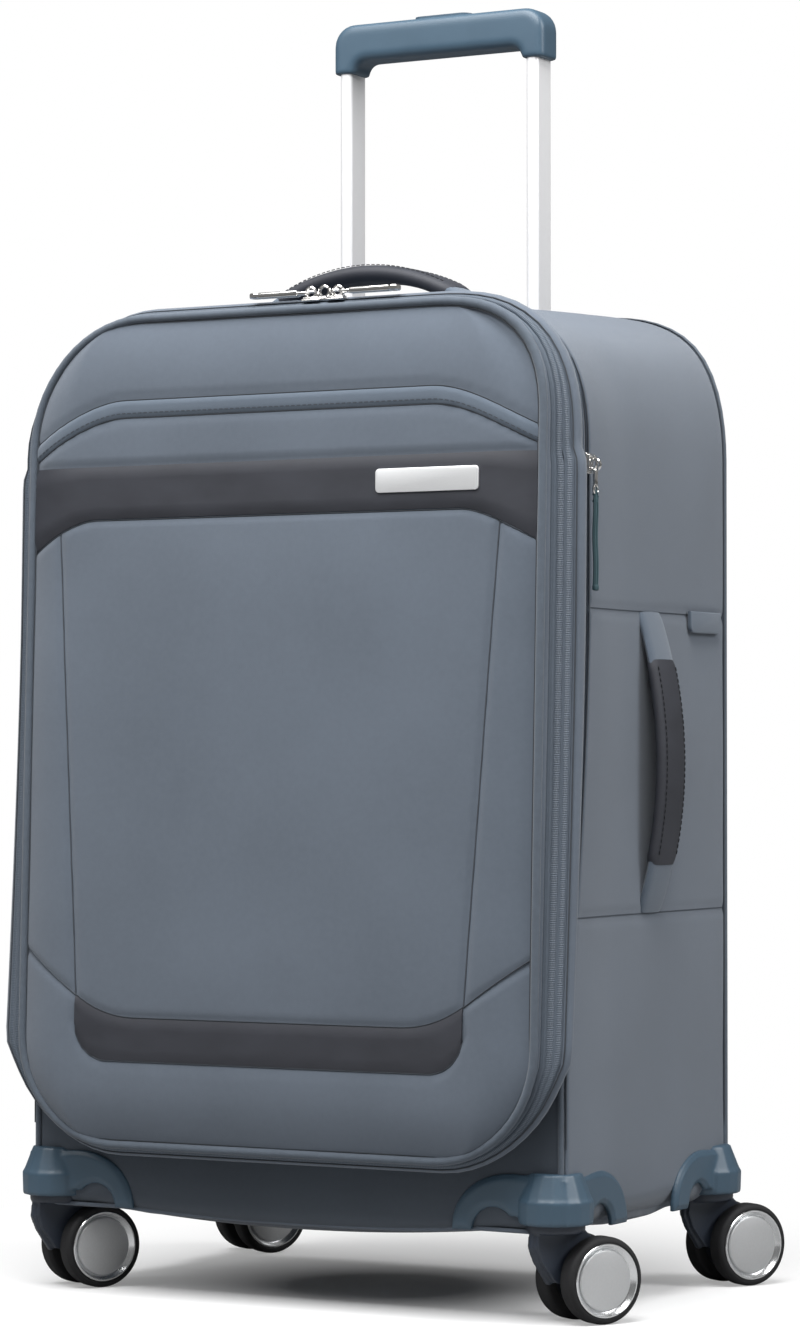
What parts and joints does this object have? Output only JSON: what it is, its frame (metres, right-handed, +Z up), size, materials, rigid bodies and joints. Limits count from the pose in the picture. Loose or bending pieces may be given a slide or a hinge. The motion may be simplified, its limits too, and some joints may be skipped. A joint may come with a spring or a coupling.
{
  "type": "softside upright suitcase",
  "caption": "Softside upright spinner suitcase with expander, hinged lid, telescopic pull handle, carry handles and twin-wheel casters.",
  "frame": {"origin": "on the floor, under the middle of the body", "axes": "+X to the suitcase's right side, +Y to its back, +Z up"},
  "size_m": [0.4308, 0.3013, 0.8525],
  "materials": {
    "shell_fabric": "matt ballistic weave, slate",
    "trim_fabric": "matt weave, slate, stitched",
    "dark_fabric": "plain lining cloth",
    "trim_band": "soft smooth leather-like band",
    "piping": "corded piping",
    "zip_tape": "woven tape with coil",
    "housing_plastic": "satin moulded plastic, steel blue",
    "dark_plastic": "satin moulded plastic, dark navy",
    "tube_aluminium": "satin anodised",
    "polished_metal": "polished nickel",
    "steel": "plain steel",
    "tyre_rubber": "soft black tread",
    "hub_silver": "satin silver with a bright bevel",
    "webbing": "black webbing",
    "pull_grip": "dark teal moulded strands"
  },
  "bodies": {
    "case": {"body_shell": "shell_fabric", "back_panel": "shell_fabric", "shell_piping": "piping", "lining": "dark_fabric", "base_tray": "dark_plastic", "housing_front_left": "housing_plastic", "housing_front_right": "housing_plastic", "housing_rear_left": "housing_plastic", "housing_rear_right": "housing_plastic", "caster_kingpins": "steel", "caster_bearings": "steel", "housing_screws": "steel", "outer_tubes": "steel", "trolley_bezel": "dark_plastic", "trolley_foot": "dark_plastic", "expander_zip_rear": "zip_tape", "handle_anchors": "trim_fabric", "side_tab": "trim_fabric", "packing_straps": "webbing", "strap_buckle": "dark_plastic"},
    "expander": {"expander_strip": "shell_fabric", "expander_zip_tapes": "zip_tape", "expander_sleeve": "dark_fabric"},
    "lid": {"lid_panel": "shell_fabric", "lid_gusset": "shell_fabric", "lid_zip_tape": "zip_tape", "lid_piping": "piping", "pocket_flap": "trim_fabric", "upper_band": "trim_band", "lower_band": "trim_band", "name_plate": "polished_metal", "lid_pocket": "dark_fabric"},
    "handle_lower": {"middle_tubes": "tube_aluminium"},
    "handle_upper": {"upper_tubes": "tube_aluminium", "grip_upper_shell": "housing_plastic", "grip_lower_shell": "housing_plastic", "button_spring": "steel"},
    "release": {"release_button": "housing_plastic", "release_rods": "steel"},
    "top_handle": {"top_handle": "trim_band"},
    "side_handle": {"side_handle": "trim_band"},
    "left_slider": {"left_slider": "polished_metal"},
    "left_pull": {"left_pull": "polished_metal"},
    "right_slider": {"right_slider": "polished_metal"},
    "right_pull": {"right_pull": "polished_metal"},
    "expander_slider": {"expander_slider": "polished_metal"},
    "expander_pull": {"expander_pull": "polished_metal", "expander_grip": "pull_grip"},
    "swivel_front_left": {"fork_front_left": "dark_plastic"},
    "wheels_front_left": {"tyres_front_left": "tyre_rubber", "hubs_front_left": "hub_silver"},
    "swivel_front_right": {"fork_front_right": "dark_plastic"},
    "wheels_front_right": {"tyres_front_right": "tyre_rubber", "hubs_front_right": "hub_silver"},
    "swivel_rear_left": {"fork_rear_left": "dark_plastic"},
    "wheels_rear_left": {"tyres_rear_left": "tyre_rubber", "hubs_rear_left": "hub_silver"},
    "swivel_rear_right": {"fork_rear_right": "dark_plastic"},
    "wheels_rear_right": {"tyres_rear_right": "tyre_rubber", "hubs_rear_right": "hub_silver"}
  },
  "joints": [
    {"name": "expander_out", "type": "slide", "parent": "case", "child": "expander", "axis": [0, -1, 0], "range_m": [0, 0.038]},
    {"name": "lid_open", "type": "hinge", "parent": "expander", "child": "lid", "pos_m": [0, -0.128, 0.098], "axis": [1, 0, 0], "range_deg": [0, 95]},
    {"name": "lower_tubes_out", "type": "slide", "parent": "case", "child": "handle_lower", "axis": [0, 0, 1], "range_m": [0, 0.19]},
    {"name": "upper_tubes_in", "type": "slide", "parent": "handle_lower", "child": "handle_upper", "axis": [0, 0, 1], "range_m": [-0.212, 0]},
    {"name": "release_press", "type": "slide", "parent": "handle_upper", "child": "release", "axis": [0, 0, -1], "range_m": [0, 0.003], "stiffness_N_per_m": 1500, "springref_m": -0.003, "deforming": ["button_spring"]},
    {"name": "top_handle_lift", "type": "slide", "parent": "case", "child": "top_handle", "axis": [0, 0, 1], "range_m": [0, 0.014], "stiffness_N_per_m": 200, "springref_m": -0.004},
    {"name": "side_handle_lift", "type": "slide", "parent": "case", "child": "side_handle", "axis": [1, 0, 0], "range_m": [0, 0.014], "stiffness_N_per_m": 200, "springref_m": -0.004},
    {"name": "left_slider_run", "type": "slide", "parent": "expander", "child": "left_slider", "axis": [-1, 0, 0], "range_m": [0, 0.11]},
    {"name": "left_pull_swing", "type": "hinge", "parent": "left_slider", "child": "left_pull", "pos_m": [0.017, -0.1245, 0.6393], "axis": [0, 1, 0], "range_deg": [0, 120]},
    {"name": "right_slider_run", "type": "slide", "parent": "expander", "child": "right_slider", "axis": [1, 0, 0], "range_m": [0, 0.06]},
    {"name": "right_pull_swing", "type": "hinge", "parent": "right_slider", "child": "right_pull", "pos_m": [0.035, -0.1245, 0.6393], "axis": [0, -1, 0], "range_deg": [0, 120]},
    {"name": "expander_slider_run", "type": "slide", "parent": "case", "child": "expander_slider", "axis": [0, 0, -1], "range_m": [0, 0.24]},
    {"name": "expander_pull_swing", "type": "hinge", "parent": "expander_slider", "child": "expander_pull", "pos_m": [0.1983, -0.091, 0.53], "axis": [0, -1, 0], "range_deg": [0, 120]},
    {"name": "swivel_turn_front_left", "type": "hinge", "parent": "case", "child": "swivel_front_left", "pos_m": [-0.184, -0.108, 0.058], "axis": [0, 0, 1], "continuous": true},
    {"name": "wheel_spin_front_left", "type": "hinge", "parent": "swivel_front_left", "child": "wheels_front_left", "pos_m": [-0.17236, -0.08701, 0.027], "axis": [0.8746, -0.4848, 0], "continuous": true},
    {"name": "swivel_turn_front_right", "type": "hinge", "parent": "case", "child": "swivel_front_right", "pos_m": [0.184, -0.108, 0.058], "axis": [0, 0, 1], "continuous": true},
    {"name": "wheel_spin_front_right", "type": "hinge", "parent": "swivel_front_right", "child": "wheels_front_right", "pos_m": [0.19564, -0.08701, 0.027], "axis": [0.8746, -0.4848, 0], "continuous": true},
    {"name": "swivel_turn_rear_left", "type": "hinge", "parent": "case", "child": "swivel_rear_left", "pos_m": [-0.184, 0.108, 0.058], "axis": [0, 0, 1], "continuous": true},
    {"name": "wheel_spin_rear_left", "type": "hinge", "parent": "swivel_rear_left", "child": "wheels_rear_left", "pos_m": [-0.17236, 0.12899, 0.027], "axis": [0.8746, -0.4848, 0], "continuous": true},
    {"name": "swivel_turn_rear_right", "type": "hinge", "parent": "case", "child": "swivel_rear_right", "pos_m": [0.184, 0.108, 0.058], "axis": [0, 0, 1], "continuous": true},
    {"name": "wheel_spin_rear_right", "type": "hinge", "parent": "swivel_rear_right", "child": "wheels_rear_right", "pos_m": [0.19564, 0.12899, 0.027], "axis": [0.8746, -0.4848, 0], "continuous": true}
  ]
}
